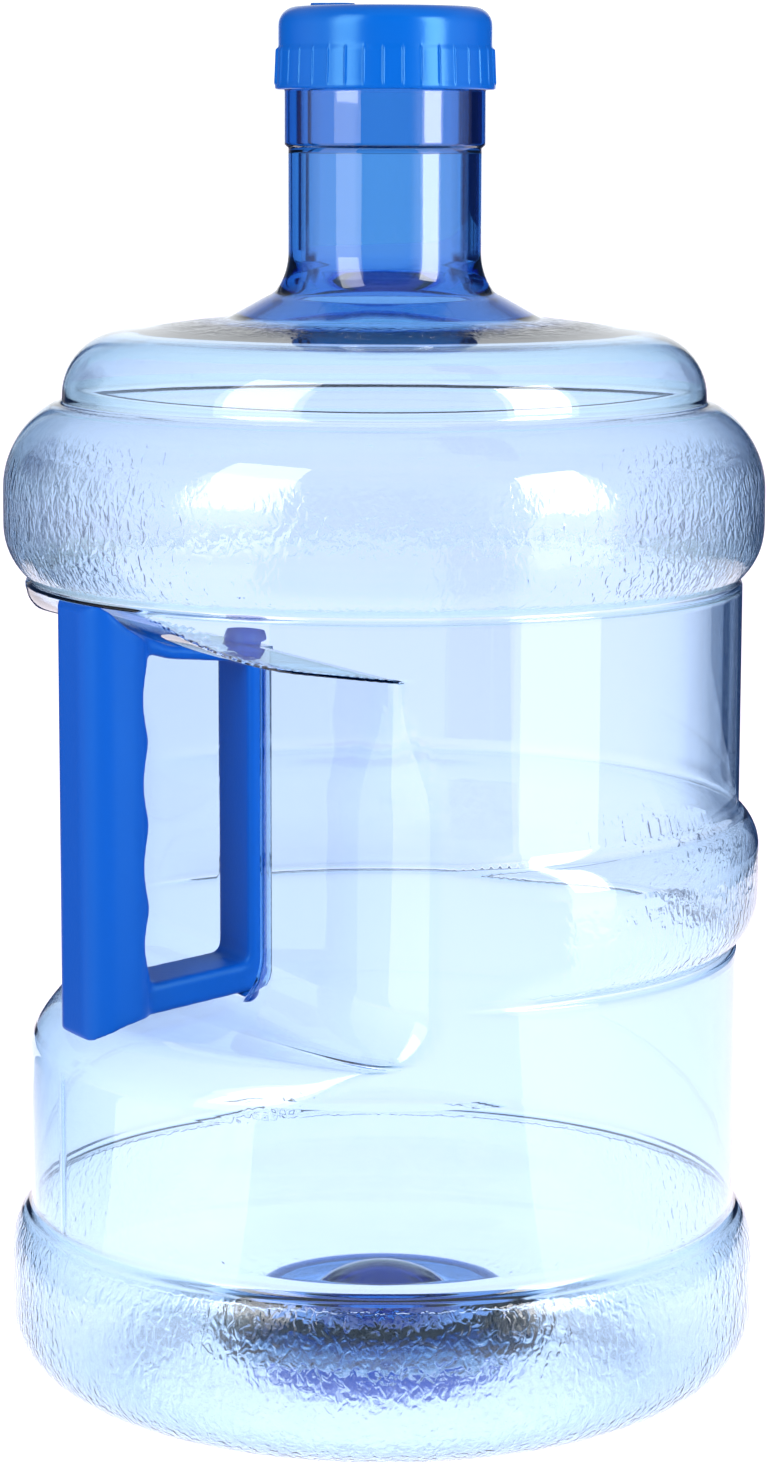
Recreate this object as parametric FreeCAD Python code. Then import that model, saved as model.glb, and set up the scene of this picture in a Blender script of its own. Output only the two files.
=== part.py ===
import FreeCAD, Part
import math
import os

# Large refillable water jug: a blown polycarbonate bottle with an in-moulded
# carrying handle and a screw cap. Millimetres. Z runs up the bottle's axis,
# the origin is on the axis at the face the jug stands on, and the handle
# lies along -X.

# Wall of the blown bottle
WALL = 1.6

# Plain body and the three rings that stand out of it
BODY_RADIUS = 99.2
SHOULDER_RADIUS = 88.7
BASE_RING_TOP = 50.4
MIDDLE_RING_BOTTOM = 125.0
MIDDLE_RING_TOP = 163.3
UPPER_RING_BOTTOM = 226.6
UPPER_RING_TOP = 275.4

# Foot and the pushed-up middle of the base
FOOT_RADIUS = 80.3
FOOT_LAND = 3.0
FOOT_CURVE = 14.0
PUSH_UP_RADIUS = 36.0
PUSH_UP_HEIGHT = 16.0
PUSH_UP_THICKNESS = 5.0
DIMPLE_RADIUS = 14.0
DIMPLE_HEIGHT = 5.7
INNER_DOME_RADIUS = 21.0
INNER_DOME_HEIGHT = 8.0

# Neck finish of the 55 mm class
NECK_RADIUS = 26.5
NECK_BORE_RADIUS = 23.0
NECK_BOTTOM = 316.0
COLLAR_RADIUS = 27.5
COLLAR_BOTTOM = 344.1
COLLAR_TOP = 360.4
FINISH_RADIUS = 26.3
NECK_TOP = 378.0

# Single-start right-hand screw thread between neck and cap
THREAD_LEAD = 6.0
THREAD_HALF_FOOT = 1.5
THREAD_HALF_CREST = 0.8
NECK_THREAD_CREST = 27.5
NECK_THREAD_START = 364.9
NECK_THREAD_TURNS = 1.6
CAP_THREAD_CREST = 26.8
CAP_THREAD_DROP = 2.6
CAP_THREAD_TURNS = 1.2

# Recess for the hand, cut across the -X side of the body
RECESS_DEPTH_PLANE = 45.0
RECESS_CORNER = 15.0
RECESS_FLOOR_BACK = 112.5
RECESS_FLOOR_SLOPE = 4.0
RECESS_ROOF_BACK = 210.5
RECESS_ROOF_LIP = 225.4
RECESS_REACH = 130.0
RIM_ROUNDING = 16.0
RIM_OVERSHOOT = 0.15

# Handle insert
GRIP_OUTER = 96.0
GRIP_INNER = 76.3
GRIP_HALF_WIDTH = 13.0
GRIP_OUTER_CORNER = 8.0
GRIP_INNER_CORNER = 7.0
GRIP_TIP_ROUNDING = 1.2
GRIP_TIP_HEIGHT = 107.8
FINGER_CUSPS = (210.0, 187.0, 164.5, 141.5, 122.5)
FINGER_DEPTH = 3.0
BAR_INNER = 41.0
BAR_OUTER = 47.1
BAR_HALF_WIDTH = 9.8
BAR_BOTTOM = 115.4
BAR_TOP = 210.0
BAR_ROUNDING = 1.6
PEG_CENTRE = 43.2
TOP_PEG_RADIUS = 4.4
TOP_PEG_TIP = 215.4
BOTTOM_PEG_RADIUS = 3.0
BOTTOM_PEG_TIP = 110.6
HANDLE_CLEARANCE = 0.1

# Screw cap
CAP_TOP = 382.0
CAP_BOTTOM = 359.8
CAP_INNER_RADIUS = 28.2
CAP_CEILING = 380.0
CROWN_RADIUS = 29.1
CROWN_CORNER = 5.0
SKIRT_TOP = 371.0
SKIRT_TOP_RADIUS = 29.5
HEM_TOP = 361.1
HEM_RADIUS = 30.1
RIB_COUNT = 36
RIB_WIDTH = 0.7
RIB_HEIGHT = 0.4

# Ring gasket under the cap's ceiling
SEAL_INNER = 22.9
SEAL_OUTER = 27.4
SEAL_BOTTOM = 378.08
SEAL_TOP = 379.92

# Vent plug that snaps into the cap's top
PLUG_OFFSET = 12.5
PLUG_SIDE_DEG = 151.0
PLUG_HOLE_RADIUS = 3.2
PLUG_STEM_RADIUS = 3.15
PLUG_STEM_BOTTOM = 376.6
PLUG_BUTTON_RADIUS = 4.4
PLUG_BUTTON_TOP = 383.0
PLUG_LIP_REACH = 3.4
PLUG_LIP_THICKNESS = 0.7

UP = FreeCAD.Vector(0, 0, 1)
AXIS_POINT = FreeCAD.Vector(0, 0, 0)


def rz(radius, height):
    """A point of a turned outline."""
    return FreeCAD.Vector(radius, 0, height)


def side(outward, height):
    """A point of the side view through the handle, outward along -X."""
    return FreeCAD.Vector(-outward, 0, height)


def arc(centre_r, centre_z, radius, start_deg, end_deg):
    """Three points of an arc in a turned outline."""
    points = []
    for degrees in (start_deg, (start_deg + end_deg) / 2, end_deg):
        turn = math.radians(degrees)
        points.append(rz(centre_r + radius * math.cos(turn), centre_z + radius * math.sin(turn)))
    return tuple(points)


def outline_face(steps):
    """Closed face from steps that are each one point or an arc of three points."""
    edges = []
    here = None
    first = None
    for step in steps:
        points = step if isinstance(step, tuple) else (step,)
        if here is None:
            first = points[0]
        elif here.distanceToPoint(points[0]) > 1e-6:
            edges.append(Part.makeLine(here, points[0]))
        if len(points) == 3:
            edges.append(Part.Arc(*points).toShape())
        here = points[-1]
    edges.append(Part.makeLine(here, first))
    return Part.Face(Part.Wire(edges))


def turned(steps):
    """Solid of revolution about the bottle's axis."""
    return outline_face(steps).revolve(AXIS_POINT, UP, 360)


def plate(steps, half_width):
    """Side-view outline made into a plate centred on the handle's plane."""
    face = outline_face(steps)
    face.translate(FreeCAD.Vector(0, -half_width, 0))
    return face.extrude(FreeCAD.Vector(0, 2 * half_width, 0))


def base_steps(dome_radius, dome_height, disc_z, corner_radius, foot_inset):
    """Base from the axis out to the foot: low dome, raised disc, slope and foot."""
    dome_curve = (dome_radius ** 2 + dome_height ** 2) / (2 * dome_height)
    dome_deg = math.degrees(math.asin(dome_radius / dome_curve))
    dome_centre = disc_z + dome_height - dome_curve
    foot_r = FOOT_RADIUS - FOOT_LAND
    foot_curve = FOOT_CURVE - foot_inset
    across = rz(foot_r, FOOT_CURVE) - rz(PUSH_UP_RADIUS, disc_z - corner_radius)
    slope = math.asin((corner_radius + foot_curve) / across.Length) - math.atan2(across.z, across.x)
    slope_deg = math.degrees(slope)
    return [
        arc(0, dome_centre, dome_curve, 90, 90 - dome_deg),
        arc(PUSH_UP_RADIUS, disc_z - corner_radius, corner_radius, 90, 90 - slope_deg),
        arc(foot_r, FOOT_CURVE, foot_curve, 270 - slope_deg, 270),
    ]


def ring_foot(inset, height, notch_radius):
    """Corner below a ring: the outside nips in sharply, the inside eases round it."""
    if inset == 0:
        return [rz(BODY_RADIUS, height)]
    return [
        rz(BODY_RADIUS - inset, height - 2.5),
        rz(notch_radius - inset, height + 0.2),
    ]


def shoulder_groove(inset):
    """Groove between the upper ring and the shoulder, eased on the inside."""
    if inset == 0:
        return [rz(SHOULDER_RADIUS, UPPER_RING_TOP)]
    return [
        rz(SHOULDER_RADIUS, UPPER_RING_TOP - inset),
        rz(SHOULDER_RADIUS - inset, UPPER_RING_TOP),
    ]


def side_steps(inset):
    """Side of the body from the foot to the shoulder, moved inward by inset."""
    return [
        arc(FOOT_RADIUS, 28.2, 28.2 - inset, -90, -55),
        arc(85.0, 21.5, 20.0 - inset, -55, 0),
        arc(80.0, 36.0, 25.0 - inset, 0, 25.3),
        arc(97.18, 44.14, 6.0 - inset, 25.3, 70),
        rz(BODY_RADIUS - inset, BASE_RING_TOP),
        *ring_foot(inset, MIDDLE_RING_BOTTOM, 97.4),
        arc(87.3, 140.0, 17.7 - inset, -55, 0),
        arc(90.2, 152.0, 14.8 - inset, 0, 48),
        rz(BODY_RADIUS - inset, MIDDLE_RING_TOP),
        *ring_foot(inset, UPPER_RING_BOTTOM, 98.0),
        arc(85.8, 242.0, 19.2 - inset, -50, 0),
        arc(78.4, 251.5, 26.6 - inset, 0, 63),
        *shoulder_groove(inset),
        arc(71.3, 277.0, 17.4 - inset, 0, 83),
    ]


def bottle_outside():
    """Everything inside the bottle's outer skin, before the recess."""
    steps = base_steps(DIMPLE_RADIUS, DIMPLE_HEIGHT, PUSH_UP_HEIGHT, 6.0, 0)
    steps += side_steps(0)
    steps += [
        rz(43.0, 298.1),
        rz(32.0, 304.2),
        arc(44.5, NECK_BOTTOM, 18.0, 218.1, 180),
        rz(NECK_RADIUS, COLLAR_BOTTOM),
        arc(26.7, COLLAR_BOTTOM + 0.8, 0.8, -90, 0),
        rz(COLLAR_RADIUS, COLLAR_TOP - 0.5),
        rz(COLLAR_RADIUS - 0.5, COLLAR_TOP),
        rz(FINISH_RADIUS, COLLAR_TOP),
        rz(FINISH_RADIUS, NECK_TOP - 0.6),
        rz(FINISH_RADIUS - 0.6, NECK_TOP),
        rz(0, NECK_TOP),
    ]
    return turned(steps)


def bottle_inside():
    """Hollow of the bottle and its neck bore, before the recess."""
    disc_z = PUSH_UP_HEIGHT + PUSH_UP_THICKNESS
    steps = base_steps(INNER_DOME_RADIUS, INNER_DOME_HEIGHT, disc_z, 5.0, WALL + 0.2)
    steps += side_steps(WALL)
    steps += [
        arc(NECK_BORE_RADIUS + 10, 308.0, 10.0, 270, 180),
        rz(NECK_BORE_RADIUS, NECK_TOP + 5),
        rz(0, NECK_TOP + 5),
    ]
    return turned(steps)


def recess_floor(grow):
    """Space above the recess's dished floor and its rounded outer rim."""
    slope = math.radians(RECESS_FLOOR_SLOPE)
    rim_r = BODY_RADIUS + RIM_OVERSHOOT - RIM_ROUNDING
    floor_start = 30.0
    floor_z = RECESS_FLOOR_BACK + (RECESS_DEPTH_PLANE - floor_start) * math.tan(slope)
    floor_z -= grow / math.cos(slope)
    rim_z = RECESS_FLOOR_BACK + (RECESS_DEPTH_PLANE - rim_r) * math.tan(slope)
    rim_z -= RIM_ROUNDING / math.cos(slope)
    return turned([
        rz(floor_start, floor_z),
        arc(rim_r, rim_z, RIM_ROUNDING - grow, 90 - RECESS_FLOOR_SLOPE, 0),
        rz(RECESS_REACH, rim_z),
        rz(RECESS_REACH, UPPER_RING_TOP),
        rz(floor_start, UPPER_RING_TOP),
    ])


def recess(grow):
    """Hand recess: flat back, roof rising to a lip, dished floor.

    grow moves every face outward, which adds the bottle's wall.
    """
    back = RECESS_DEPTH_PLANE - grow
    lip = RECESS_ROOF_LIP + grow
    channel = plate([
        side(back, BASE_RING_TOP + 10),
        side(RECESS_REACH, BASE_RING_TOP + 10),
        side(RECESS_REACH, lip),
        side(92.0, lip),
        (side(88.5 - 0.5 * grow, 223.0 + grow),
         side(80.0 - 0.3 * grow, 216.6 + grow),
         side(68.0, RECESS_ROOF_BACK + 2.2 + grow)),
        side(back, RECESS_ROOF_BACK + grow),
    ], RECESS_REACH)
    space = channel.common(recess_floor(grow))
    corner = []
    for edge in space.Edges:
        if edge.Degenerated:
            continue
        box = edge.BoundBox
        on_back = abs(box.XMax + back) < 1e-3 and box.XLength < 1e-3
        if on_back and box.ZMax < MIDDLE_RING_BOTTOM and box.ZLength > 0.2:
            corner.append(edge)
    return space.makeFillet(RECESS_CORNER + grow, corner)


def peg(radius, start_z, tip_z, grow):
    """Round-ended peg on the handle's back bar."""
    direction = 1 if tip_z > start_z else -1
    length = abs(tip_z - start_z) - radius
    centre = side(PEG_CENTRE, start_z)
    post = Part.makeCylinder(radius + grow, length, centre, UP * direction)
    ball = Part.makeSphere(radius + grow, centre + UP * (direction * length))
    return post.fuse(ball)


def bars(grow, rounding):
    """Back bar, floor bar and roof bar of the handle as one C-shaped plate."""
    steps = [
        side(BAR_INNER - grow, BAR_TOP + grow),
        (side(BAR_INNER - grow, BAR_BOTTOM + 6),
         side(BAR_INNER + 1.8 - grow * 0.7, BAR_BOTTOM + 1.6 - grow * 0.7),
         side(BAR_INNER + 6, BAR_BOTTOM - grow)),
        side(76.0, 112.0 - grow),
        side(84.0, 112.0 - grow),
        side(84.0, 119.9 + grow),
        (side(BAR_OUTER + 3.0, 123.4 + grow),
         side(BAR_OUTER + 0.9 + grow, 124.2 + grow),
         side(BAR_OUTER + grow, 126.5 + grow)),
        side(BAR_OUTER + grow, 206.6 - grow),
        side(70.0, 208.8 - grow),
        side(84.0, 212.6 - grow),
        side(84.0, 218.4 + grow),
        side(70.0, 212.5 + grow),
    ]
    frame = plate(steps, BAR_HALF_WIDTH + grow)
    if rounding > 0:
        long_edges = [edge for edge in frame.Edges if abs(edge.BoundBox.YLength) < 1e-6]
        frame = frame.makeFillet(rounding, long_edges)
    return frame


def grip():
    """Hand grip: side outline with finger hollows, cut to a rounded section."""
    tip = []
    for degrees in (232.8, 296.4, 360.0):
        turn = math.radians(degrees)
        tip.append(side(
            GRIP_OUTER - GRIP_TIP_ROUNDING + GRIP_TIP_ROUNDING * math.cos(turn),
            GRIP_TIP_HEIGHT + GRIP_TIP_ROUNDING * math.sin(turn),
        ))
    steps = [
        (side(76.5, 112.0), side(86.5, 110.3), tip[0]),
        tuple(tip),
        side(GRIP_OUTER, RECESS_ROOF_LIP - 2.6),
        side(GRIP_OUTER - 1.6, RECESS_ROOF_LIP - 0.6),
        side(92.4, RECESS_ROOF_LIP - 0.6),
        (side(88.7, 222.4), side(80.4, 216.0), side(69.0, 212.3)),
        side(69.0, 209.0),
        side(GRIP_INNER, FINGER_CUSPS[0]),
    ]
    for top, bottom in zip(FINGER_CUSPS, FINGER_CUSPS[1:]):
        steps.append((
            side(GRIP_INNER, top),
            side(GRIP_INNER + FINGER_DEPTH, (top + bottom) / 2),
            side(GRIP_INNER, bottom),
        ))
    steps.append(side(76.5, 121.0))
    blank = plate(steps, GRIP_HALF_WIDTH)
    section = Part.makeBox(
        GRIP_OUTER - GRIP_INNER, 2 * GRIP_HALF_WIDTH, 160.0,
        FreeCAD.Vector(-GRIP_OUTER, -GRIP_HALF_WIDTH, 90.0),
    )
    for face_x, corner in ((-GRIP_OUTER, GRIP_OUTER_CORNER), (-GRIP_INNER, GRIP_INNER_CORNER)):
        upright = []
        for edge in section.Edges:
            box = edge.BoundBox
            if box.ZLength > 100 and abs(box.Center.x - face_x) < 0.01:
                upright.append(edge)
        section = section.makeFillet(corner, upright)
    return blank.common(section)


def make_handle():
    """One-piece handle: grip, bars and the two pegs that key it in the wall."""
    handle = bars(0, BAR_ROUNDING).fuse([
        grip(),
        peg(TOP_PEG_RADIUS, BAR_TOP - 3, TOP_PEG_TIP, 0),
        peg(BOTTOM_PEG_RADIUS, BAR_BOTTOM + 3, BOTTOM_PEG_TIP, 0),
    ])
    return handle.removeSplitter()


def handle_pocket(grow):
    """Room in the wall for the handle's back bar, floor bar and pegs."""
    return bars(grow, 0).fuse([
        peg(TOP_PEG_RADIUS, BAR_TOP - 3, TOP_PEG_TIP, grow),
        peg(BOTTOM_PEG_RADIUS, BAR_BOTTOM + 3, BOTTOM_PEG_TIP, grow),
    ])


def thread(foot_radius, crest_radius, start_z, turns):
    """Helical ridge between two radii, its foot sunk a little into the wall."""
    sunk = 0.4 if foot_radius < crest_radius else -0.4
    root = foot_radius - sunk
    profile = Part.makePolygon([
        rz(root, start_z - THREAD_HALF_FOOT),
        rz(crest_radius, start_z - THREAD_HALF_CREST),
        rz(crest_radius, start_z + THREAD_HALF_CREST),
        rz(root, start_z + THREAD_HALF_FOOT),
        rz(root, start_z - THREAD_HALF_FOOT),
    ])
    path = Part.makeHelix(THREAD_LEAD, THREAD_LEAD * turns, foot_radius)
    path.translate(FreeCAD.Vector(0, 0, start_z))
    return Part.Wire(path.Edges).makePipeShell([profile], True, True)


def make_bottle():
    """Blown bottle with its recess, handle pocket and screw finish."""
    outside = bottle_outside().cut(recess(0)).cut(handle_pocket(HANDLE_CLEARANCE))
    inside = bottle_inside().cut(recess(WALL)).cut(handle_pocket(HANDLE_CLEARANCE + WALL))
    screw = thread(FINISH_RADIUS, NECK_THREAD_CREST, NECK_THREAD_START, NECK_THREAD_TURNS)
    print("volume inside the bottle, litres:", round(inside.Volume / 1e6, 2))
    return outside.cut(inside).fuse(screw)


def make_cap():
    """Screw cap with a ribbed skirt, an inner thread and a hole for the vent."""
    shell = turned([
        rz(0, CAP_CEILING),
        rz(CAP_INNER_RADIUS, CAP_CEILING),
        rz(CAP_INNER_RADIUS, CAP_BOTTOM),
        rz(HEM_RADIUS, CAP_BOTTOM),
        rz(HEM_RADIUS, HEM_TOP),
        rz(HEM_RADIUS - 0.1, HEM_TOP),
        rz(SKIRT_TOP_RADIUS, SKIRT_TOP),
        rz(CROWN_RADIUS, SKIRT_TOP),
        arc(CROWN_RADIUS - CROWN_CORNER, CAP_TOP - CROWN_CORNER, CROWN_CORNER, 0, 90),
        rz(0, CAP_TOP),
    ])
    rib = Part.makeBox(
        RIB_HEIGHT + 1.0, RIB_WIDTH, SKIRT_TOP - HEM_TOP,
        FreeCAD.Vector(SKIRT_TOP_RADIUS - 1.0, -RIB_WIDTH / 2, HEM_TOP),
    )
    ribs = []
    for index in range(RIB_COUNT):
        turned_rib = rib.copy()
        turned_rib.rotate(AXIS_POINT, UP, index * 360 / RIB_COUNT)
        ribs.append(turned_rib)
    screw = thread(CAP_INNER_RADIUS, CAP_THREAD_CREST,
                   NECK_THREAD_START - CAP_THREAD_DROP, CAP_THREAD_TURNS)
    hole = Part.makeCylinder(PLUG_HOLE_RADIUS, 10, plug_centre(CAP_CEILING - 4), UP)
    return shell.fuse(ribs + [screw]).cut(hole)


def plug_centre(height):
    """Point on the vent plug's own axis."""
    turn = math.radians(PLUG_SIDE_DEG)
    return FreeCAD.Vector(PLUG_OFFSET * math.cos(turn), PLUG_OFFSET * math.sin(turn), height)


def make_vent_plug():
    """Soft plug: stem in the cap's hole, button on top and a lip to pull."""
    stem = Part.makeCylinder(
        PLUG_STEM_RADIUS, CAP_TOP - PLUG_STEM_BOTTOM + 0.5, plug_centre(PLUG_STEM_BOTTOM), UP)
    button = Part.makeCone(
        PLUG_BUTTON_RADIUS + 0.5, PLUG_BUTTON_RADIUS - 0.3, PLUG_BUTTON_TOP - CAP_TOP - 0.05,
        plug_centre(CAP_TOP + 0.05), UP)
    outward = plug_centre(0)
    outward.normalize()
    lip = Part.makeBox(PLUG_BUTTON_RADIUS + PLUG_LIP_REACH, 6.0, PLUG_LIP_THICKNESS)
    lip.translate(FreeCAD.Vector(0, -3.0, PLUG_BUTTON_TOP - PLUG_LIP_THICKNESS))
    tip_edges = [edge for edge in lip.Edges if edge.BoundBox.XMin > 1 and edge.BoundBox.ZLength > 0.5]
    lip = lip.makeFillet(2.0, tip_edges)
    lip.rotate(AXIS_POINT, UP, PLUG_SIDE_DEG)
    lip.translate(plug_centre(0))
    return stem.fuse([button, lip]).removeSplitter()


def make_cap_seal():
    """Flat ring gasket between the neck's land and the cap's ceiling."""
    return turned([
        rz(SEAL_INNER, SEAL_BOTTOM),
        rz(SEAL_OUTER, SEAL_BOTTOM),
        rz(SEAL_OUTER, SEAL_TOP),
        rz(SEAL_INNER, SEAL_TOP),
    ])


NODES = {
    "bottle": make_bottle,
    "handle": make_handle,
    "cap": make_cap,
    "cap_seal": make_cap_seal,
    "vent_plug": make_vent_plug,
}

os.makedirs("parts", exist_ok=True)
for name, make in NODES.items():
    shape = make()
    print(name, "solids", len(shape.Solids), "valid", shape.isValid(), "cm3", round(shape.Volume / 1000, 1))
    shape.exportStep("parts/" + name + ".step")
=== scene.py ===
import bpy
import bmesh
import math
import numpy as np
from mathutils import Matrix, Vector, noise


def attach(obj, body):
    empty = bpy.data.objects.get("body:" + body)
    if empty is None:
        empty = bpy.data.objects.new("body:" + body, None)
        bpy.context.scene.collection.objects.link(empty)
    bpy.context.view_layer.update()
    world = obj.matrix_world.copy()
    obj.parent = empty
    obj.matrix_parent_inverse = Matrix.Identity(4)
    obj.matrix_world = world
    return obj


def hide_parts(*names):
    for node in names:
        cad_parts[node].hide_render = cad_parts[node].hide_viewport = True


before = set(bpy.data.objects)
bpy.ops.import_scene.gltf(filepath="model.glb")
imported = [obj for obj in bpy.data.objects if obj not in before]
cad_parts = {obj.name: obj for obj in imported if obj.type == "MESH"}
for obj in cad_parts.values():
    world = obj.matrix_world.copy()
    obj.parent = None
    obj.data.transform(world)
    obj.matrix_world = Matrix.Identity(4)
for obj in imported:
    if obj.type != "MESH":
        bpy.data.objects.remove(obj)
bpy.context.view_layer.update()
MM = 0.001

# Outline of the blown bottle in millimetres, about the neck's axis
BODY_R = 99.2
SHOULDER_R = 88.7
BASE_RING_TOP = 50.4
MID_RING = (125.0, 163.3)
UPPER_RING = (226.6, 275.4)
FOOT_R = 80.3
FOOT_LAND = 3.0
FOOT_CURVE = 14.0
PUSH_UP_R = 36.0
PUSH_UP_Z = 16.0
PUSH_UP_WALL = 5.4
DIMPLE_R = 14.0
DIMPLE_Z = 5.7
INNER_DOME_R = 21.0
INNER_DOME_Z = 8.0
FOOT_WALL = 0.9
NECK_R = 26.5
NECK_BORE_R = 23.0
NECK_BOTTOM = 316.0
COLLAR_R = 27.5
COLLAR = (344.1, 360.4)
FINISH_R = 26.3
NECK_TOP = 378.0
WALL = 0.72

# Hand recess
BACK_OUT = 45.0
CORNER_R = 15.0
CORNER_CENTRE = (60.0, 126.45)
RIM_R = 16.0
RIM_CENTRE = (83.35, 93.78)
FLOOR_SLOPE = math.radians(4.0)
ROOF_LIP = 225.4

# Handle bar that the wall is blown round
BAR_INNER = 41.0
BAR_HALF = 9.8
BAR_BOTTOM = 115.4
BAR_TOP = 210.0
BAR_CURVE = 6.0
BAR_GAP = 0.15

# Screw threads: the rise in a turn, half widths, and each one's lowest height and turns
LEAD = 6.0
THREAD_HALF_FOOT = 1.5
THREAD_HALF_CREST = 0.8
NECK_THREAD = (364.9, 1.6)
CAP_THREAD = (362.3, 1.2)

# Screw cap
CAP_TOP = 382.0
CAP_BOTTOM = 359.8
CAP_CEILING = 380.0
CAP_INNER_R = 28.2
CROWN_R = 29.1
CROWN_CURVE = 5.0
SKIRT_TOP = 371.0
SKIRT_R = (29.5, 29.9)
HEM_TOP = 361.1
HEM_R = 30.1
RIBS = 36

# Clear bosses over the handle's pegs: distance from the axis, foot, tip and radius
BOSS_OUT = 43.2
BOSSES = {"peg_boss_top": (211.3, 217.4, 5.85), "peg_boss_low": (114.6, 109.7, 3.9)}

# Heights in metres where the mould's bands meet the plain wall
BAND_LINES = (0.0475, 0.1285, 0.2295)

# Direction that the camera looks in, in degrees from +Y towards +X
LOOK = 29.0


# ---------------------------------------------------------------- lines

def arc(centre_r, centre_z, radius, start, end, count=24):
    """Points along an arc in the (radius, height) plane, angles in degrees."""
    turn = np.radians(np.linspace(start, end, count))
    return np.column_stack([centre_r + radius * np.cos(turn), centre_z + radius * np.sin(turn)])


def circle3(a, b, c, count):
    """Points of the arc from a through b to c."""
    (ax, ay), (bx, by), (cx, cy) = a, b, c
    d = 2 * (ax * (by - cy) + bx * (cy - ay) + cx * (ay - by))
    sa, sb, sc = ax * ax + ay * ay, bx * bx + by * by, cx * cx + cy * cy
    ux = (sa * (by - cy) + sb * (cy - ay) + sc * (ay - by)) / d
    uy = (sa * (cx - bx) + sb * (ax - cx) + sc * (bx - ax)) / d
    radius = math.hypot(ax - ux, ay - uy)
    start = math.degrees(math.atan2(ay - uy, ax - ux))
    end = math.degrees(math.atan2(cy - uy, cx - ux))
    return arc(ux, uy, radius, start, end, count)


def resample(points, spacing):
    """The same line with evenly spaced points."""
    points = np.asarray(points, float)
    steps = np.hypot(*np.diff(points, axis=0).T)
    along = np.concatenate([[0], np.cumsum(steps)])
    keep = np.concatenate([[True], steps > 1e-9])
    count = max(2, int(round(along[-1] / spacing)) + 1)
    at = np.linspace(0, along[-1], count)
    return np.column_stack([np.interp(at, along[keep], points[keep, i]) for i in (0, 1)])


def join(*parts):
    """Lines end to end, without the points that they share."""
    line = [np.atleast_2d(parts[0])]
    for part in parts[1:]:
        part = np.atleast_2d(part)
        if np.hypot(*(part[0] - line[-1][-1])) < 1e-6:
            part = part[1:]
        line.append(part)
    return np.vstack(line)


def smooth_min(a, b, k):
    """The smaller of two values, eased over a difference of k."""
    mix = np.clip(0.5 + 0.5 * (b - a) / k, 0, 1)
    return b + (a - b) * mix - k * mix * (1 - mix)


def smooth_max(a, b, k):
    """The larger of two values, eased over a difference of k."""
    return -smooth_min(-a, -b, k)


def smoothstep(low, high, value):
    """0 at low, 1 at high, with a soft start and end between."""
    t = np.clip((value - low) / (high - low), 0, 1)
    return t * t * (3 - 2 * t)

# ---------------------------------------------------------------- outlines of the bottle

def base_line():
    """Outside of the base: dimple, raised disc, slope and foot."""
    corner_r = 6.0
    curve = (DIMPLE_R ** 2 + DIMPLE_Z ** 2) / (2 * DIMPLE_Z)
    dimple_turn = math.degrees(math.asin(DIMPLE_R / curve))
    foot_r = FOOT_R - FOOT_LAND
    dr, dz = foot_r - PUSH_UP_R, FOOT_CURVE - PUSH_UP_Z + corner_r
    slope = math.asin((corner_r + FOOT_CURVE) / math.hypot(dr, dz)) - math.atan2(dz, dr)
    slope = math.degrees(slope)
    return join(
        arc(0, PUSH_UP_Z + DIMPLE_Z - curve, curve, 90, 90 - dimple_turn),
        arc(PUSH_UP_R, PUSH_UP_Z - corner_r, corner_r, 90, 90 - slope),
        arc(foot_r, FOOT_CURVE, FOOT_CURVE, 270 - slope, 270),
    )


def base_inside():
    """Inside of the base: a thick disc with a low dome, thinning out down the slope."""
    outer = resample(base_line(), 0.5)
    radius = outer[:, 0]
    under = np.where(radius < PUSH_UP_R, PUSH_UP_Z, outer[:, 1])
    wall = FOOT_WALL + (PUSH_UP_WALL - FOOT_WALL) * smoothstep(52.0, PUSH_UP_R + 1, radius)
    curve = (INNER_DOME_R ** 2 + INNER_DOME_Z ** 2) / (2 * INNER_DOME_Z)
    dome_z = np.sqrt(np.maximum(curve ** 2 - radius ** 2, 0)) - curve + INNER_DOME_Z
    return np.column_stack([radius, under + wall + np.maximum(dome_z, 0)])


def side_line():
    """Outside of the body from the foot up to the shoulder."""
    return join(
        arc(FOOT_R, 28.2, 28.2, -90, -55),
        arc(85.0, 21.5, 20.0, -55, 0),
        arc(80.0, 36.0, 25.0, 0, 25.3),
        arc(97.18, 44.14, 6.0, 25.3, 70),
        (BODY_R, BASE_RING_TOP),
        (BODY_R, MID_RING[0] - 0.4),
        (97.4, MID_RING[0] + 0.2),
        arc(87.3, 140.0, 17.7, -55, 0),
        arc(90.2, 152.0, 14.8, 0, 48),
        (BODY_R, MID_RING[1]),
        (BODY_R, UPPER_RING[0] - 0.4),
        (98.0, UPPER_RING[0] + 0.2),
        arc(85.8, 242.0, 19.2, -50, 0),
        arc(78.4, 251.5, 26.6, 0, 63),
        (SHOULDER_R + 0.3, UPPER_RING[1] - 0.3),
        (SHOULDER_R, UPPER_RING[1] + 0.5),
    )


def neck_line():
    """Outside from the shoulder's curve to the top of the neck."""
    return join(
        arc(71.3, 277.0, 17.4, 0, 83),
        (43.0, 298.1),
        (32.0, 304.2),
        arc(44.5, NECK_BOTTOM, 18.0, 218.1, 180),
        (NECK_R, COLLAR[0]),
        (COLLAR_R, COLLAR[0] + 0.8),
        (COLLAR_R, COLLAR[1] - 0.5),
        (COLLAR_R - 0.5, COLLAR[1]),
        (FINISH_R, COLLAR[1]),
        (FINISH_R, NECK_TOP - 0.6),
        (FINISH_R - 0.6, NECK_TOP),
    )


def roof_line():
    """Recess roof in the handle's plane: outward distance and height."""
    return join(
        (BACK_OUT, 210.5),
        (68.0, 212.7),
        circle3((68.0, 212.7), (80.0, 216.6), (88.5, 223.0), 12)[1:],
        (92.0, ROOF_LIP),
    )


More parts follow.
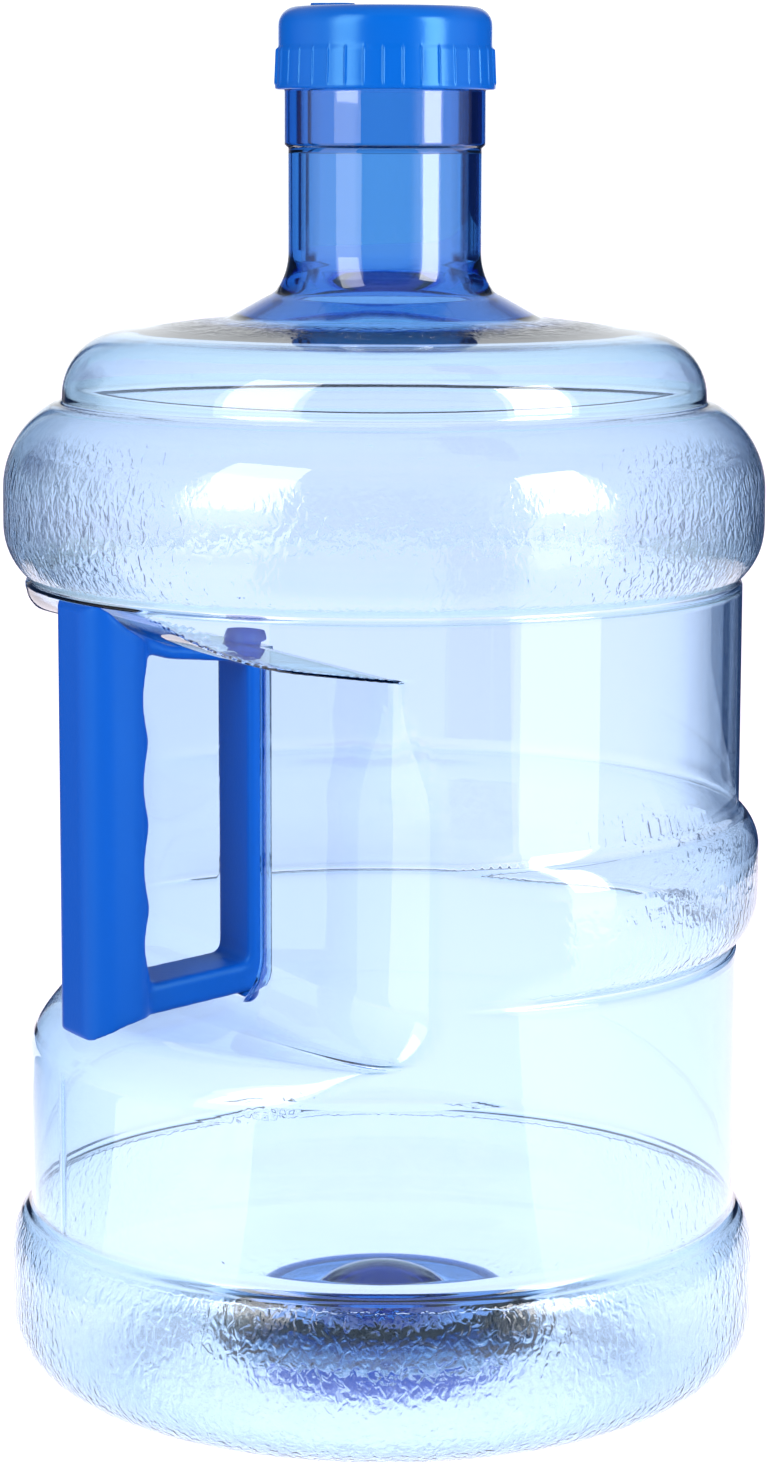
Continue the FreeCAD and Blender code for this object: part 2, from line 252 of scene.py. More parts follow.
def levels(grow):
    """Heights of the rows on the body, close together where the recess turns."""
    rim = RIM_R - grow
    centre_z = CORNER_CENTRE[1]
    curve = CORNER_R + grow
    roof = resample(roof_line(), 2.2)[:, 1] + grow
    parts = [
        np.arange(BASE_RING_TOP + 1, RIM_CENTRE[1] - 1, 2.6),
        RIM_CENTRE[1] + rim * np.sin(np.radians(np.linspace(-1, 86, 13))),
        np.linspace(RIM_CENTRE[1] + rim, centre_z - curve, 10),
        centre_z - curve * np.cos(np.radians(np.linspace(5, 85, 11))),
        [124.2, 124.7, 125.2, 125.7, 126.5],
        np.arange(127.5, MID_RING[1] + 1.5, 1.5),
        np.arange(166.5, 209.5, 3.0),
        [210.1 + grow, 210.45 + grow],
        roof,
        [ROOF_LIP + 0.3 + grow, 226.3, 226.8, 227.4],
    ]
    heights = np.sort(np.concatenate(parts))
    keep = np.concatenate([[True], np.diff(heights) > 0.06])
    return heights[keep]


def outer_line():
    """Outside of the bottle, from the middle of the base to the top of the neck."""
    side = side_line()
    low = resample(side[side[:, 1] <= BASE_RING_TOP], 1.9)
    high = resample(side[side[:, 1] >= UPPER_RING[0] + 0.2], 1.6)[1:]
    mid_z = levels(0.0)
    mid_z = mid_z[(mid_z > BASE_RING_TOP + 0.3) & (mid_z < high[0, 1] - 0.3)]
    mid = np.column_stack([np.interp(mid_z, side[:, 1], side[:, 0]), mid_z])
    neck = neck_line()
    radius, z = neck.T
    shoulder = resample(neck[z <= 298.2], 1.9)
    flare = resample(neck[(z >= 298.1) & (z <= COLLAR[0])], 1.5)[1:]
    on_collar = (z >= COLLAR[0]) & (z <= COLLAR[1]) & (radius >= FINISH_R - 0.01)
    collar = resample(neck[on_collar], 0.7)[1:]
    finish_z = np.linspace(COLLAR[1] + 0.2, NECK_TOP - 0.6, 33)
    finish = np.column_stack([np.full(33, FINISH_R), finish_z])
    base = resample(base_line(), 2.1)[1:]
    top = (FINISH_R - 0.6, NECK_TOP)
    return join(base, low, mid, high, shoulder, flare, collar, finish, top)


def body_inside():
    """The body's outside moved in by the wall, its corners eased except at the base."""
    neck = neck_line()
    fine = resample(join(side_line(), neck[neck[:, 1] <= 296.5]), 0.4)
    tangent = np.gradient(fine, axis=0)
    tangent /= np.hypot(*tangent.T)[:, None]
    inset = fine + np.column_stack([-tangent[:, 1], tangent[:, 0]]) * WALL
    blur = np.hanning(9) / np.hanning(9).sum()
    padded = np.pad(inset, ((4, 4), (0, 0)), "edge")
    eased = np.column_stack([np.convolve(padded[:, i], blur, "valid") for i in (0, 1)])
    crisp = smoothstep(62.0, 56.0, inset[:, 1:])
    return eased + (inset - eased) * crisp


def inner_line():
    """Inside of the bottle, from the top of the neck down to the middle of the base."""
    bore = join(
        (NECK_BORE_R + 0.6, NECK_TOP),
        (NECK_BORE_R, NECK_TOP - 0.6),
        arc(NECK_BORE_R + 11, 311.0, 11.0, 180, 241),
        (40.8, 294.7),
        (50.0, 293.5),
        (59.0, 295.3),
    )
    body = body_inside()
    radius, z = body.T
    mid_z = levels(WALL)
    mid_z = mid_z[(mid_z > BASE_RING_TOP + 1) & (mid_z < 228)]
    side = body[(z > BASE_RING_TOP) & (z < 240) & (radius > 90)]
    side = side[np.argsort(side[:, 1])]
    mid = np.column_stack([np.interp(mid_z, side[:, 1], side[:, 0]), mid_z])
    start = int(np.argmin(np.abs(z - (mid_z[-1] + 1.2)) + 50 * (radius < 90)))
    high = resample(body[start:], 2.6)
    end = int(np.argmin(np.abs(z - BASE_RING_TOP)))
    low = resample(body[4:end], 2.8)
    base = resample(base_inside(), 1.8)[1:]
    return join(resample(bore, 2.4), high[::-1], mid[::-1], low[::-1], base[::-1])


# ---------------------------------------------------------------- bottle

FAR = 400.0


def recess_limit(radius, turn, z, grow):
    """Radius of the skin where the hand recess cuts it, turn measured from the handle."""
    facing = np.maximum(np.cos(turn), 1e-3)
    centre_out, centre_z = CORNER_CENTRE
    curve = CORNER_R + grow
    drop = np.clip(centre_z - z, 0, curve)
    back = centre_out - np.sqrt(np.maximum(curve ** 2 - drop ** 2, 0))
    bar_drop = np.clip(BAR_BOTTOM + BAR_CURVE - z, 0, BAR_CURVE)
    bar = BAR_INNER + BAR_CURVE - np.sqrt(np.maximum(BAR_CURVE ** 2 - bar_drop ** 2, 0))
    bar = bar - BAR_GAP - grow
    half = math.atan((BAR_HALF + BAR_GAP + grow) / (BAR_INNER - grow))
    in_bar = smoothstep(half + math.radians(1.3), half, np.abs(turn))
    in_bar = in_bar * (z > BAR_BOTTOM + 0.4) * (z < BAR_TOP + 0.2 + grow)
    back = back + (np.minimum(bar, back) - back) * in_bar
    roof = roof_line()
    roof_out = np.interp(z, roof[:, 1] + grow, roof[:, 0], left=0.0, right=FAR)
    plane = np.minimum(np.maximum(back, roof_out) / facing, FAR)
    plane = np.where(z > ROOF_LIP + grow, FAR, plane)
    easing = 1.2 + 32.0 * smoothstep(210.0, 176.0, z)
    cut = smooth_min(radius, plane, easing)
    rim = RIM_R - grow
    rim_r, rim_z = RIM_CENTRE
    touch_z = rim_z + rim * math.cos(FLOOR_SLOPE)
    flat = rim_r + rim * math.sin(FLOOR_SLOPE) + (touch_z - z) / math.tan(FLOOR_SLOPE)
    curved = rim_r + np.sqrt(np.maximum(rim ** 2 - np.clip(z - rim_z, 0, rim) ** 2, 0))
    floor = np.where(z > touch_z, flat, curved)
    floor = np.where(z < rim_z, FAR, floor)
    return np.minimum(radius, smooth_max(cut, np.minimum(radius, floor), 26.0))


def ring_fade(radius, turn, z, flat, margin):
    """The middle ring dies out towards the recess, down to the plain wall's radius."""
    share = smoothstep(math.radians(70), math.radians(96), np.abs(turn))
    in_ring = (z > MID_RING[0] - margin) & (z < MID_RING[1] + margin) & (radius > 90)
    return np.where(in_ring, flat + (radius - flat) * share, radius)


def columns():
    """Directions round the axis from the handle, closer together at the handle's bar."""
    fine = np.arange(-16.0, 16.0, 0.5)
    coarse = np.linspace(16.0, 344.0, 236, endpoint=False)
    turn = np.concatenate([fine, coarse])
    return np.radians((turn + 180) % 360 - 180)


def thread_height(turn, z, start, turns):
    """Height of a screw ridge, 0 to 1, at a direction and height."""
    swing = np.degrees(math.pi + turn) % 360
    rise = np.zeros_like(swing + z)
    slant = THREAD_HALF_FOOT - THREAD_HALF_CREST
    for lap in range(3):
        travel = swing / 360 + lap
        centre = start + LEAD * travel
        ridge = np.clip((THREAD_HALF_FOOT - np.abs(z - centre)) / slant, 0, 1)
        inside = smoothstep(-0.01, 0.06, travel) * smoothstep(turns + 0.01, turns - 0.06, travel)
        rise = np.maximum(rise, ridge * inside)
    return rise


def ring_surface(name, rings, pole_start=True, pole_end=True, closed=False):
    """Mesh of rings of points, with a point at each end on the axis or joined in a loop."""
    rows, count = rings.shape[:2]
    verts = rings.reshape(-1, 3)
    faces = []
    index = np.arange(rows * count).reshape(rows, count)
    pairs = [(i, i + 1) for i in range(rows - 1)]
    if closed:
        pairs.append((rows - 1, 0))
    for low, high in pairs:
        a, b = index[low], index[high]
        faces += list(zip(a, np.roll(a, -1), np.roll(b, -1), b))
    extra = []
    if pole_start:
        extra.append(rings[0].mean(0))
        tip = len(verts)
        faces += [(tip, b, a) for a, b in zip(index[0], np.roll(index[0], -1))]
    if pole_end:
        extra.append(rings[-1].mean(0))
        tip = len(verts) + len(extra) - 1
        faces += [(tip, a, b) for a, b in zip(index[-1], np.roll(index[-1], -1))]
    if extra:
        verts = np.vstack([verts, extra])
    mesh = bpy.data.meshes.new(name)
    mesh.from_pydata((verts * MM).tolist(), [], [tuple(int(v) for v in f) for f in faces])
    mesh.update()
    work = bmesh.new()
    work.from_mesh(mesh)
    bmesh.ops.recalc_face_normals(work, faces=work.faces)
    work.to_mesh(mesh)
    work.free()
    mesh.shade_smooth()
    piece = bpy.data.objects.new(name, mesh)
    bpy.context.scene.collection.objects.link(piece)
    return piece


def place(radius, turn, z):
    """Points at a radius, direction from the handle, and height."""
    return np.stack([-radius * np.cos(turn), -radius * np.sin(turn), z + 0 * radius], axis=-1)


def hammer_mask(radius, z, turn):
    """Where the mould is pebbled: shoulder, rings, foot and base."""
    on_side = radius > 92
    upper = smoothstep(228.0, 230.0, z) * smoothstep(264.0, 256.0, z) * on_side
    share = smoothstep(math.radians(75), math.radians(100), np.abs(turn))
    middle = smoothstep(126.8, 128.5, z) * smoothstep(153.0, 148.0, z) * on_side * share
    low = smoothstep(47.4, 46.0, z) * smoothstep(50.0, 58.0, radius)
    top = (z > 285) * smoothstep(42.0, 48.0, radius) * smoothstep(68.0, 54.0, radius)
    return 0.7 * upper + 0.8 * middle + low + 2.2 * top


def pebble(points, mask, height):
    """Small bumps along the radius, from smooth noise."""
    bumps = np.zeros(mask.shape)
    for i in np.argwhere(mask > 0.01):
        x, y, z = points[tuple(i)]
        at = Vector((x, y, z * 0.8)) / 5.5
        fine = Vector((x, y, z)) / 2.9 + Vector((7.0, 3.0, 5.0))
        bumps[tuple(i)] = noise.noise(at) + 0.45 * noise.noise(fine)
    return bumps * mask * height


def store(piece, name, values):
    """Keeps a number for each point, which the material reads."""
    layer = piece.data.attributes.new(name, "FLOAT", "POINT")
    layer.data.foreach_set("value", np.asarray(values, np.float32).ravel())


def outer_skin(turn):
    """Points of the outside, with each one's share of the pebbling and of the band lines."""
    line = outer_line()
    radius, z = line[:, :1], line[:, 1:]
    skin_r = ring_fade(radius + 0 * turn, turn, z, BODY_R, 1)
    on_body = (z > 90) & (z < 230) & (radius > 90)
    skin_r = np.where(on_body, recess_limit(skin_r, turn, z, 0.0), skin_r)
    ridge = thread_height(turn, z, *NECK_THREAD) * (z > COLLAR[1] + 0.1) * (radius < 27)
    seam = np.exp(-(turn / math.radians(0.35)) ** 2) * (z > 52) * (z < 94)
    skin_r = skin_r + 1.2 * ridge + 0.3 * seam
    points = place(skin_r, turn, z)
    mask = hammer_mask(skin_r, z, turn)
    bumps = pebble(points, mask, 0.07)
    upright = np.clip(smoothstep(12.0, 2.0, z) + (z > 285), 0, 1)
    points[..., 2] += bumps * upright
    points[..., :2] *= 1 + (bumps * (1 - upright) / np.maximum(skin_r, 1))[..., None]
    points[..., 2] = np.maximum(points[..., 2], 0.0)
    away = smoothstep(math.radians(50), math.radians(100), np.abs(turn))
    return points, mask, away * (z > 100) + (z < 100)


def inner_skin(turn):
    """Points of the inside."""
    line = inner_line()
    radius, z = line[:, :1], line[:, 1:]
    skin_r = ring_fade(radius + 0 * turn, turn, z, BODY_R - WALL, 3)
    on_body = (z > 90) & (z < 230) & (radius > 88)
    skin_r = np.where(on_body, recess_limit(skin_r, turn, z, WALL), skin_r)
    return place(skin_r, turn, z)


def make_bottle():
    """Closed shell of the bottle: outer skin, neck land, bore and inner skin."""
    turn = columns()[None, :]
    outside, mask, edge = outer_skin(turn)
    bottle = ring_surface("bottle_shell", np.concatenate([outside, inner_skin(turn)]))
    rest = np.zeros(len(bottle.data.vertices) - mask.size)
    store(bottle, "pebble", np.append(mask, rest))
    store(bottle, "band_edge", np.append(edge, rest))
    return bottle


def dome(name, base_z, tip_z, outer_r):
    """Clear boss blown over a round peg, closed across its foot."""
    turn = np.radians(np.linspace(0, 360, 48, endpoint=False))[None, :]
    sign = 1 if tip_z > base_z else -1
    straight = abs(tip_z - base_z) - outer_r
    bend = np.radians(np.linspace(0, 87, 14))
    crown = np.column_stack([outer_r * np.cos(bend), straight + outer_r * np.sin(bend)])
    line = resample(join((0.4, 0.0), (outer_r - 0.3, 0.0), (outer_r, 0.3), crown), 0.45)
    radius, z = line[:, :1], base_z + sign * line[:, 1:]
    across = -BOSS_OUT - radius * np.cos(turn)
    rings = np.stack([across, -radius * np.sin(turn), z + 0 * turn], axis=-1)
    return ring_surface(name, rings)


# ---------------------------------------------------------------- cap, handle and plug

def make_cap():
    """Screw cap: crown, ribbed skirt and hem outside, thread inside, as one closed mesh."""
    turn = np.radians(np.linspace(-180, 180, RIBS * 24, endpoint=False))[None, :]
    outer = resample(join(
        (0.5, CAP_TOP),
        arc(CROWN_R - CROWN_CURVE, CAP_TOP - CROWN_CURVE, CROWN_CURVE, 90, 0, 12),
        (CROWN_R, SKIRT_TOP + 0.25),
        (CROWN_R + 0.3, SKIRT_TOP),
        (SKIRT_R[0], SKIRT_TOP - 0.2),
        (SKIRT_R[1], HEM_TOP + 0.2),
        (HEM_R, HEM_TOP - 0.2),
        (HEM_R, CAP_BOTTOM + 0.3),
        (HEM_R - 0.3, CAP_BOTTOM),
        (CAP_INNER_R + 0.3, CAP_BOTTOM),
        (CAP_INNER_R, CAP_BOTTOM + 0.3),
    ), 0.75)
    inner = resample(join(
        (CAP_INNER_R, CAP_BOTTOM + 0.4),
        (CAP_INNER_R, CAP_CEILING),
        (0.5, CAP_CEILING),
    ), 0.8)
    line = join(outer, inner)
    radius, z = line[:, :1], line[:, 1:]
    is_outer = np.arange(len(line))[:, None] < len(outer)
    lap = (np.degrees(turn) * RIBS / 360 + 0.5) % 1 - 0.5
    rib = smoothstep(0.062, 0.012, np.abs(lap)) * smoothstep(SKIRT_TOP + 0.4, SKIRT_TOP - 0.6, z)
    rib = rib * smoothstep(HEM_TOP - 0.2, HEM_TOP + 0.3, z) * is_outer * (radius > 29)
    ridge = thread_height(turn, z, *CAP_THREAD) * (~is_outer) * (radius > 28)
    skin_r = radius + 0.38 * rib - 1.35 * ridge
    return ring_surface("cap_shell", place(skin_r, turn, z))


def soften(name, node, voxel, passes):
    """A CAD node's shape with its edges eased as a mould leaves them."""
    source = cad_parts[node]
    piece = bpy.data.objects.new(name, source.data.copy())
    bpy.context.scene.collection.objects.link(piece)
    piece.data.materials.clear()
    remesh = piece.modifiers.new("remesh", "REMESH")
    remesh.mode = "VOXEL"
    remesh.voxel_size = voxel
    smooth = piece.modifiers.new("smooth", "SMOOTH")
    smooth.factor = 0.5
    smooth.iterations = passes
    depsgraph = bpy.context.evaluated_depsgraph_get()
    made = bpy.data.meshes.new_from_object(piece.evaluated_get(depsgraph))
    piece.modifiers.clear()
    piece.data = made
    made.shade_smooth()
    return piece


# ---------------------------------------------------------------- materials

def new_material(name):
    """A material's own parts: itself, its tree, its shader and its output."""
    material = bpy.data.materials.new(name)
    material.use_nodes = True
    tree = material.node_tree
    shader = tree.nodes["Principled BSDF"]
    return material, tree, shader, tree.nodes["Material Output"]


def node(tree, kind, **values):
    """A shader node with properties set, and inputs where a name starts with in_."""
    made = tree.nodes.new(kind)
    for key, value in values.items():
        if key.startswith("in_"):
            made.inputs[key[3:].replace("_", " ")].default_value = value
        else:
            setattr(made, key, value)
    return made


def noise_at(tree, where, **values):
    """Output of a noise texture at a place."""
    made = node(tree, "ShaderNodeTexNoise", **values)
    tree.links.new(where, made.inputs["Vector"])
    return made.outputs["Fac"]


def squeezed(tree, where, rise):
    """A place with its height scaled."""
    made = node(tree, "ShaderNodeMapping")
    made.inputs["Scale"].default_value = (1.0, 1.0, rise)
    tree.links.new(where, made.inputs["Vector"])
    return made.outputs[0]


def combine(tree, operation, *terms):
    """Output of a math node on numbers and other nodes' outputs."""
    made = node(tree, "ShaderNodeMath", operation=operation)
    for place_in, term in zip(made.inputs, terms):
        if isinstance(term, float):
            place_in.default_value = term
        else:
            tree.links.new(term, place_in)
    return made.outputs[0]


def mapped(tree, value, source, target, kind="LINEAR"):
    """A value moved from a source range to a target range."""
    made = node(tree, "ShaderNodeMapRange", interpolation_type=kind)
    for name, number in zip(("From Min", "From Max", "To Min", "To Max"), source + target):
        made.inputs[name].default_value = number
    tree.links.new(value, made.inputs["Value"])
    return made.outputs[0]


def bumped(tree, shader, height, strength, distance):
    """Gives a shader a relief."""
    bump = node(tree, "ShaderNodeBump", in_Strength=strength, in_Distance=distance)
    tree.links.new(height, bump.inputs["Height"])
    tree.links.new(bump.outputs[0], shader.inputs["Normal"])


def clear_blue():
    """Blue-tinted clear polycarbonate, pebbled in bands, with faint flow marks."""
    material, tree, shader, output = new_material("clear_blue")
    shader.inputs["Transmission Weight"].default_value = 1.0
    shader.inputs["IOR"].default_value = 1.585
    shader.inputs["Base Color"].default_value = (0.985, 0.993, 1.0, 1)
    where = node(tree, "ShaderNodeTexCoord").outputs["Object"]
    split = node(tree, "ShaderNodeSeparateXYZ")
    tree.links.new(where, split.inputs[0])
    mask = node(tree, "ShaderNodeAttribute", attribute_name="pebble").outputs["Fac"]
    edge = node(tree, "ShaderNodeAttribute", attribute_name="band_edge").outputs["Fac"]
    pebbles = noise_at(
        tree, squeezed(tree, where, 0.7),
        in_Scale=430.0, in_Detail=1.5, in_Roughness=0.5, in_Distortion=0.7,
    )
    jitter = noise_at(tree, where, in_Scale=420.0, in_Detail=2.0)
    flow = noise_at(
        tree, squeezed(tree, where, 0.22), in_Scale=16.0, in_Detail=3.0, in_Roughness=0.5,
    )
    relief = combine(tree, "MULTIPLY", pebbles, mask)
    ragged = combine(tree, "MULTIPLY_ADD", jitter, 0.0022, split.outputs["Z"])
    for height in BAND_LINES:
        step = mapped(tree, ragged, (height, height + 0.0005), (0.0, 0.3), "SMOOTHSTEP")
        relief = combine(tree, "MULTIPLY_ADD", step, edge, relief)
    relief = combine(tree, "ADD", relief, flow)
    bumped(tree, shader, relief, 0.8, 0.00036)
    rough = mapped(tree, mask, (0.0, 1.0), (0.015, 0.09))
    tree.links.new(rough, shader.inputs["Roughness"])
    volume = node(tree, "ShaderNodeVolumeAbsorption")
    volume.inputs["Color"].default_value = (0.11, 0.55, 0.86, 1)
    volume.inputs["Density"].default_value = 425.0
    tree.links.new(volume.outputs[0], output.inputs["Volume"])
    return material


BLUE_GLOSS = (0.3, 0.85, 1.0)
WHITE_GLOSS = (1.0, 1.0, 1.0)


def moulded(name, colour, dark, roughness, grain, bump_height, gloss, tint=BLUE_GLOSS):
    """Opaque moulded plastic: slight colour drift, fine grain and rubbed spots."""
    material, tree, shader, _ = new_material(name)
    shader.inputs["Specular IOR Level"].default_value = gloss
    shader.inputs["Specular Tint"].default_value = (*tint, 1)
    where = node(tree, "ShaderNodeTexCoord").outputs["Object"]
    drift = noise_at(tree, where, in_Scale=22.0, in_Detail=3.0)
    mix = node(tree, "ShaderNodeMix", data_type="RGBA")
    mix.inputs["A"].default_value = (*colour, 1)
    mix.inputs["B"].default_value = (*dark, 1)
    tree.links.new(drift, mix.inputs["Factor"])
    tree.links.new(mix.outputs["Result"], shader.inputs["Base Color"])
    rough = mapped(tree, drift, (0.0, 1.0), (roughness - 0.06, roughness + 0.08))
    tree.links.new(rough, shader.inputs["Roughness"])
    fine = noise_at(tree, where, in_Scale=grain, in_Detail=2.0, in_Roughness=0.6)
    bumped(tree, shader, fine, 0.5, bump_height)
    return material


def card_material(name, colour):
    """Dark card, fading out to nothing along its soft edge."""
    material, tree, shader, output = new_material(name)
    shader.inputs["Base Color"].default_value = (*colour, 1)
    shader.inputs["Roughness"].default_value = 1.0
    shader.inputs["Specular IOR Level"].default_value = 0.0
    fade = node(tree, "ShaderNodeAttribute", attribute_name="fade")
    nothing = node(tree, "ShaderNodeBsdfTransparent")
    mix = node(tree, "ShaderNodeMixShader")
    tree.links.new(fade.outputs["Fac"], mix.inputs[0])
    tree.links.new(nothing.outputs[0], mix.inputs[1])
    tree.links.new(shader.outputs[0], mix.inputs[2])
    tree.links.new(mix.outputs[0], output.inputs["Surface"])
    return material


CLEAR = clear_blue()
HANDLE_BLUE = moulded(
    "handle_blue", (0.0006, 0.064, 0.36), (0.0004, 0.054, 0.32),
    roughness=0.36, grain=900.0, bump_height=0.00006, gloss=0.3,
)
CAP_BLUE = moulded(
    "cap_blue", (0.0004, 0.078, 0.37), (0.0003, 0.068, 0.34),
    roughness=0.2, grain=1200.0, bump_height=0.00004, gloss=0.5,
)
PLUG_BLUE = moulded(
    "plug_blue", (0.0004, 0.076, 0.35), (0.0003, 0.068, 0.32),
    roughness=0.38, grain=1500.0, bump_height=0.00005, gloss=0.3,
)
SEAL_WHITE = moulded(
    "seal_white", (0.80, 0.81, 0.80), (0.72, 0.73, 0.73),
    roughness=0.6, grain=1500.0, bump_height=0.00004, gloss=0.4, tint=WHITE_GLOSS,
)
CARD_BLACK = card_material("card_black", (0.014, 0.03, 0.08))
CARD_BLUE = card_material("card_blue", (0.0, 0.05, 0.34))
SHADE_BLUE = card_material("shade_blue", (0.0, 0.07, 0.42))


# ---------------------------------------------------------------- the object

def finish_piece(piece, body, slot, material, *nodes):
    """Gives a piece its material and body, and hides the CAD nodes that it stands for."""
    piece.data.materials.clear()
    piece.data.materials.append(material)
    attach(piece, body)
    if nodes:
        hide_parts(*nodes)
    return piece


def clear_piece(piece, *nodes):
    """Finishes a piece of the clear shell, which lets the studio's light through."""
    finish_piece(piece, "jug", "clear_blue_shell", CLEAR, *nodes)
    piece.visible_shadow = False


clear_piece(make_bottle(), "bottle")
for name, size in BOSSES.items():
    clear_piece(dome(name, *size))
finish_piece(
    soften("handle_moulding", "handle", 0.0007, 10), "jug", "handle_blue", HANDLE_BLUE, "handle",
)
finish_piece(make_cap(), "cap", "cap_blue", CAP_BLUE, "cap")
finish_piece(
    soften("vent_plug_moulding", "vent_plug", 0.00018, 6), "plug", "plug_blue", PLUG_BLUE, "vent_plug",
)
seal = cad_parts["cap_seal"]
seal.data.materials.clear()
seal.data.materials.append(SEAL_WHITE)


# ---------------------------------------------------------------- studio

def heading(angle, distance, height=0.0):
    """A point at a compass angle from the camera's line of sight, clockwise from above."""
    turn = math.radians(LOOK + angle)
    return Vector((distance * math.sin(turn), distance * math.cos(turn), height))


def beside(forward, across, height=0.0):
    """A point forward of the jug along the camera's line of sight and across to its right."""
    return heading(0, forward, 0) + heading(90, across, height)


def upright(near, far, low, high):
    """Corners of an upright card between two places on the floor."""
    rise = Vector((0, 0, 1))
    return near + low * rise, far + low * rise, far + high * rise, near + high * rise


def staged_mesh(name, verts, faces, material):
    """A studio piece of its own mesh."""
    mesh = bpy.data.meshes.new(name)
    mesh.from_pydata([tuple(v) for v in verts], [], faces)
    mesh.materials.append(material)
    piece = bpy.data.objects.new(name, mesh)
    bpy.context.scene.collection.objects.link(piece)
    return piece


def studio_floor():
    """Pale paper that glows a little, so that it stays even behind the jug."""
    material, _, shader, _ = new_material("floor_paper")
    shader.inputs["Base Color"].default_value = (0.5, 0.505, 0.51, 1)
    shader.inputs["Roughness"].default_value = 0.9
    shader.inputs["Specular IOR Level"].default_value = 0.0
    shader.inputs["Emission Color"].default_value = (0.97, 0.87, 0.99, 1)
    shader.inputs["Emission Strength"].default_value = 1.0
    corners = [(-9, -9, 0), (9, -9, 0), (9, 9, 0), (-9, 9, 0)]
    floor = staged_mesh("floor", corners, [(0, 1, 2, 3)], material)
    floor.location.z = -0.0004


def dark_card(name, corners, soft=0.4, far=0.0, top=0.0, seen_through=True, material=CARD_BLACK):
    """Card beside the bright field, which draws the dark edges of the clear plastic.

    It fades in from its near edge over the share soft, and out over the shares far and top.
    """
    near_low, far_low, far_high, near_high = corners
    across = np.linspace(0, 1, 33) ** 2
    up = np.linspace(0, 1, 9)
    verts = [
        near_low.lerp(far_low, t).lerp(near_high.lerp(far_high, t), v) for v in up for t in across
    ]
    first = [33 * row + i for row in range(8) for i in range(32)]
    card = staged_mesh(name, verts, [(i, i + 1, i + 34, i + 33) for i in first], material)
    fade = smoothstep(0.0, soft, across) * smoothstep(-1e-6, far, 1 - across)
    store(card, "fade", np.outer(smoothstep(-1e-6, top, 1 - up), fade))
    card.visible_camera = False
    card.visible_diffuse = False
    card.visible_shadow = False
    card.visible_transmission = seen_through


def upright_cards():
    """Cards behind the jug at both sides, beside it, behind the camera and round the neck."""
    for side, tag, outer_edge in ((-1, "l", 0.37), (1, "r", 1.3)):
        for level, inner_edge, low, high in (("low", 0.16, 0.0, 0.30), ("high", 0.27, 0.16, 0.9)):
            near, far = beside(0.9, side * inner_edge), beside(0.9, side * outer_edge)
            dark_card(
                f"card_back_{tag}_{level}", upright(near, far, low, high),
                soft=0.05 / (outer_edge - inner_edge), top=0.6,
            )
        near, far = beside(0.95, side * 0.18), beside(-0.25, side * 1.4)
        dark_card(
            f"card_side_{tag}", upright(near, far, 0.0, 1.2),
            soft=0.2, far=0.65, top=0.5, seen_through=False,
        )
        near, far = beside(-1.6, side * 1.25), beside(-1.6, 0.0)
        dark_card(
            f"card_front_{tag}", upright(near, far, 0.0, 2.6),
            soft=0.4, top=0.4, seen_through=False,
        )
    for tag, start, end in (("l", -41, -66), ("r", 46, 70)):
        near, far = heading(start, 0.6), heading(end, 0.6)
        dark_card(f"card_neck_{tag}", upright(near, far, 0.29, 0.5), soft=0.3, far=0.3)


def floor_cards():
    """Cards on the floor in front of the base and to the handle's side."""
    low, lower = 0.0012, 0.001
    dark_card(
        "card_front_floor",
        (beside(-0.115, -0.10, lower), beside(-1.6, -1.1, lower),
         beside(-1.6, 1.25, lower), beside(-0.115, 0.12, lower)),
        soft=0.12, seen_through=False, material=CARD_BLUE,
    )
    dark_card(
        "card_handle_floor",
        (beside(-0.02, -0.14, low), beside(-0.1, -1.4, low),
         beside(1.1, -1.2, low), beside(0.25, -0.14, low)),
        soft=0.2, seen_through=False,
    )


def shade_under():
    """Shadow on the floor below the hollow of the base, which the thin clear wall doesn't cast."""
    turn = np.radians(np.arange(0, 360, 7.5))[None, :]
    radius = np.linspace(0.5, 44.0, 14)[:, None]
    patch = ring_surface("shade_under", place(radius + 0 * turn, turn, 0.7), pole_end=False)
    fade = np.repeat(smoothstep(44.0, 28.0, radius.ravel()), turn.size)
    store(patch, "fade", np.append(fade, 1.0))
    patch.data.materials.append(SHADE_BLUE)
    patch.visible_camera = False
    patch.visible_diffuse = False
    patch.visible_shadow = False


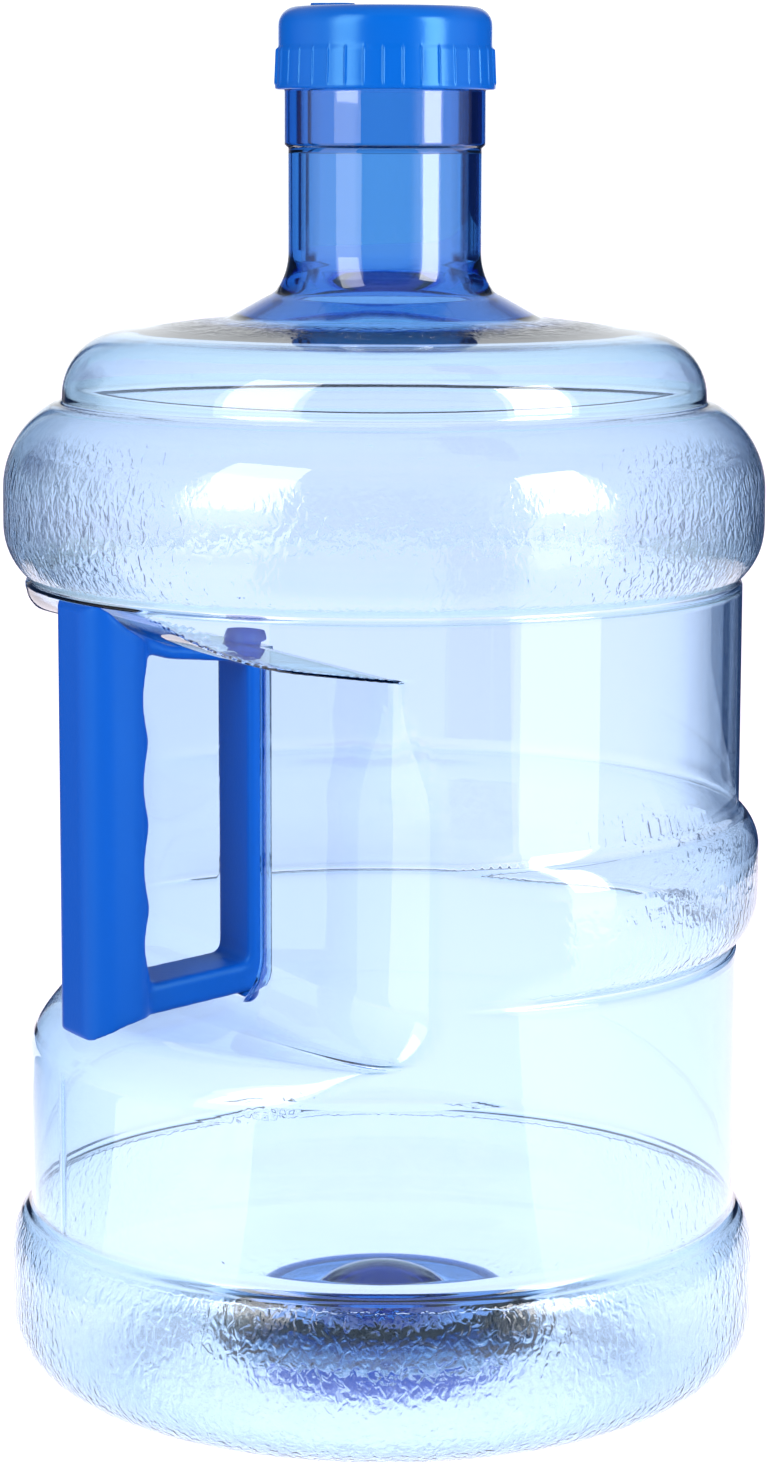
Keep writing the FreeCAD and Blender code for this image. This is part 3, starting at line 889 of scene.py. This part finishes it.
def softbox(name, angle, distance, height, size, radiance):
    """Rectangular light facing the jug, angle measured from behind the camera, to the right."""
    data = bpy.data.lights.new(name, "AREA")
    data.shape = "RECTANGLE"
    data.size, data.size_y = size
    data.energy = radiance * math.pi * size[0] * size[1]
    light = bpy.data.objects.new(name, data)
    bpy.context.scene.collection.objects.link(light)
    light.location = heading(180 - angle, distance, height)
    aim = Vector((0, 0, 0.2)) - light.location
    aim.z *= 0.35
    light.rotation_euler = aim.to_track_quat("-Z", "Y").to_euler()
    light.visible_camera = False
    light.visible_transmission = False


def world_light():
    """Even bluish white all round, dimmer overhead."""
    world = bpy.data.worlds.new("studio")
    bpy.context.scene.world = world
    world.use_nodes = True
    tree = world.node_tree
    back = tree.nodes["Background"]
    back.inputs["Color"].default_value = (0.93, 0.965, 1.0, 1)
    split = node(tree, "ShaderNodeSeparateXYZ")
    tree.links.new(node(tree, "ShaderNodeTexCoord").outputs["Generated"], split.inputs[0])
    strength = mapped(tree, split.outputs["Z"], (0.02, 0.7), (1.28, 0.45))
    tree.links.new(strength, back.inputs["Strength"])


def make_camera():
    data = bpy.data.cameras.new("camera")
    data.lens = 94.8
    data.sensor_width = 36.0
    camera = bpy.data.objects.new("camera", data)
    bpy.context.scene.collection.objects.link(camera)
    camera.location = heading(180, 1.0628, 0.3495)
    turn = Matrix.Rotation(math.radians(-LOOK), 4, "Z")
    turn = turn @ Matrix.Rotation(math.radians(90 - 8.9), 4, "X")
    turn = turn @ Matrix.Rotation(math.radians(0.15), 4, "Z")
    camera.rotation_euler = turn.to_euler()
    bpy.context.scene.camera = camera


studio_floor()
world_light()
upright_cards()
floor_cards()
shade_under()
softbox("soft_right", 54, 0.85, 0.42, (0.42, 0.84), 2.3)
softbox("soft_left", -43, 0.85, 0.54, (0.50, 0.76), 2.2)
softbox("bright_right", 54, 0.84, 0.60, (0.34, 0.64), 8.5)
softbox("bright_left", -43, 0.84, 0.78, (0.42, 0.86), 5.0)
make_camera()
bpy.context.scene.view_settings.view_transform = "Standard"
bpy.context.scene.view_settings.look = "None"
